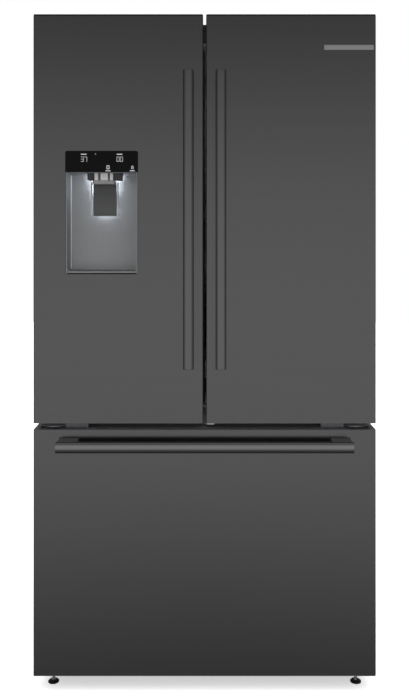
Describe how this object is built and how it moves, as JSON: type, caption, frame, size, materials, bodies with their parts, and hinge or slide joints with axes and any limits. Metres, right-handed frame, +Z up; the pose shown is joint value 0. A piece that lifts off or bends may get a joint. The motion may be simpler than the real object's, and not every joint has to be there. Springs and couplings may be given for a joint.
{
  "type": "french door refrigerator",
  "caption": "Free-standing refrigerator with two upper doors, a water and ice dispenser in the left door and a full-width freezer drawer below.",
  "frame": {"origin": "on the floor, under the middle of the overall box", "axes": "+Z up, doors face -Y, +X to the viewer's right"},
  "size_m": [0.905, 0.79, 1.79],
  "materials": {
    "cabinet_paint": "satin",
    "black_steel": "satin",
    "galvanised": "satin",
    "foam": "matte",
    "liner_white": "satin",
    "clear_plastic": "gloss",
    "shelf_glass": "gloss",
    "gasket_rubber": "matte",
    "black_plastic": "satin",
    "black_glass": "gloss",
    "dispenser_silver": "satin",
    "paddle_grey": "satin",
    "coil_black": "satin",
    "aluminium": "satin",
    "badge_metal": "satin"
  },
  "bodies": {
    "cabinet": {"cabinet_shell": "cabinet_paint", "rear_panel": "galvanised", "cabinet_foam": "foam", "fresh_food_liner": "liner_white", "freezer_liner": "liner_white", "top_cover": "black_plastic", "door_hinges": "galvanised", "base_frame": "galvanised", "compressor": "coil_black", "condenser": "coil_black", "machine_cover": "galvanised", "evaporator": "aluminium", "evaporator_cover": "liner_white", "air_duct": "liner_white", "glass_shelves": "shelf_glass", "shelf_frames": "liner_white", "filter_housing": "liner_white", "freezer_rails": "galvanised"},
    "left_door": {"left_door_skin": "black_steel", "left_door_core": "foam", "left_door_liner": "liner_white", "left_door_gasket": "gasket_rubber", "left_door_handle": "black_steel", "dispenser_housing": "dispenser_silver", "control_panel": "black_glass", "ice_nozzle": "dispenser_silver", "ice_box": "liner_white", "ice_bucket": "clear_plastic", "left_door_bins": "clear_plastic"},
    "right_door": {"right_door_skin": "black_steel", "right_door_core": "foam", "right_door_liner": "liner_white", "right_door_gasket": "gasket_rubber", "right_door_handle": "black_steel", "badge_plate": "badge_metal", "right_door_bins": "clear_plastic"},
    "freezer_drawer": {"drawer_skin": "black_steel", "drawer_core": "foam", "drawer_liner": "liner_white", "drawer_gasket": "gasket_rubber", "drawer_handle": "black_steel", "drawer_runners": "galvanised", "freezer_bin": "clear_plastic"},
    "centre_flap": {"centre_flap": "black_plastic"},
    "dispenser_paddle": {"dispenser_paddle": "paddle_grey"},
    "chute_flap": {"chute_flap": "black_plastic"},
    "ice_auger": {"ice_auger": "aluminium"},
    "dairy_lid": {"dairy_lid": "clear_plastic"},
    "slide_middles": {"slide_middles": "galvanised"},
    "freezer_tray": {"freezer_tray": "clear_plastic"},
    "left_crisper": {"left_crisper": "clear_plastic"},
    "right_crisper": {"right_crisper": "clear_plastic"},
    "chiller_drawer": {"chiller_drawer": "clear_plastic"},
    "water_filter": {"water_filter": "liner_white"},
    "evaporator_fan": {"evaporator_fan": "black_plastic"},
    "condenser_fan": {"condenser_fan": "black_plastic"},
    "left_foot": {"left_foot": "black_plastic"},
    "right_foot": {"right_foot": "black_plastic"},
    "left_roller": {"left_roller": "black_plastic"},
    "right_roller": {"right_roller": "black_plastic"}
  },
  "joints": [
    {"name": "left_door_hinge", "type": "hinge", "parent": "cabinet", "child": "left_door", "pos_m": [-0.434, -0.287, 1.25], "axis": [0, 0, -1], "range_deg": [0, 120]},
    {"name": "right_door_hinge", "type": "hinge", "parent": "cabinet", "child": "right_door", "pos_m": [0.434, -0.287, 1.25], "axis": [0, 0, 1], "range_deg": [0, 120]},
    {"name": "centre_flap_hinge", "type": "hinge", "parent": "left_door", "child": "centre_flap", "pos_m": [-0.036, -0.243, 1.23], "axis": [0, 0, 1], "range_deg": [0, 90]},
    {"name": "freezer_drawer_slide", "type": "slide", "parent": "cabinet", "child": "freezer_drawer", "axis": [0, -1, 0], "range_m": [0, 0.4]},
    {"name": "slide_middles_slide", "type": "slide", "parent": "cabinet", "child": "slide_middles", "axis": [0, -1, 0], "range_m": [0, 0.2]},
    {"name": "freezer_tray_slide", "type": "slide", "parent": "freezer_drawer", "child": "freezer_tray", "axis": [0, 1, 0], "range_m": [0, 0.165]},
    {"name": "left_crisper_slide", "type": "slide", "parent": "cabinet", "child": "left_crisper", "axis": [0, -1, 0], "range_m": [0, 0.075]},
    {"name": "right_crisper_slide", "type": "slide", "parent": "cabinet", "child": "right_crisper", "axis": [0, -1, 0], "range_m": [0, 0.075]},
    {"name": "chiller_drawer_slide", "type": "slide", "parent": "cabinet", "child": "chiller_drawer", "axis": [0, -1, 0], "range_m": [0, 0.075]},
    {"name": "paddle_hinge", "type": "hinge", "parent": "left_door", "child": "dispenser_paddle", "pos_m": [-0.27, -0.277, 1.347], "axis": [1, 0, 0], "range_deg": [0, 9], "stiffness_Nm_per_rad": 0.8},
    {"name": "chute_flap_hinge", "type": "hinge", "parent": "left_door", "child": "chute_flap", "pos_m": [-0.27, -0.2915, 1.39], "axis": [1, 0, 0], "range_deg": [0, 36]},
    {"name": "ice_auger_spin", "type": "hinge", "parent": "left_door", "child": "ice_auger", "pos_m": [-0.2275, -0.205, 1.5], "axis": [1, 0, 0], "continuous": true},
    {"name": "dairy_lid_hinge", "type": "hinge", "parent": "right_door", "child": "dairy_lid", "pos_m": [0.227, -0.252, 1.4985], "axis": [1, 0, 0], "range_deg": [0, 75]},
    {"name": "water_filter_turn", "type": "hinge", "parent": "cabinet", "child": "water_filter", "pos_m": [0.336, 0.035, 1.697], "axis": [0, 1, 0], "range_deg": [0, 90]},
    {"name": "evaporator_fan_spin", "type": "hinge", "parent": "cabinet", "child": "evaporator_fan", "pos_m": [0, 0.309, 0.56], "axis": [0, 1, 0], "continuous": true},
    {"name": "condenser_fan_spin", "type": "hinge", "parent": "cabinet", "child": "condenser_fan", "pos_m": [0, 0.3, 0.13], "axis": [1, 0, 0], "continuous": true},
    {"name": "left_foot_height", "type": "slide", "parent": "cabinet", "child": "left_foot", "axis": [0, 0, 1], "range_m": [-0.012, 0.009]},
    {"name": "right_foot_height", "type": "slide", "parent": "cabinet", "child": "right_foot", "axis": [0, 0, 1], "range_m": [-0.012, 0.009]},
    {"name": "left_roller_spin", "type": "hinge", "parent": "cabinet", "child": "left_roller", "pos_m": [-0.38, 0.33, 0.019], "axis": [1, 0, 0], "continuous": true},
    {"name": "right_roller_spin", "type": "hinge", "parent": "cabinet", "child": "right_roller", "pos_m": [0.38, 0.33, 0.019], "axis": [1, 0, 0], "continuous": true}
  ],
  "couplings": [
    {"joint": "centre_flap_hinge", "follows": "left_door_hinge", "ratio": 0.75},
    {"joint": "slide_middles_slide", "follows": "freezer_drawer_slide", "ratio": 0.5},
    {"joint": "chute_flap_hinge", "follows": "paddle_hinge", "ratio": 4}
  ]
}
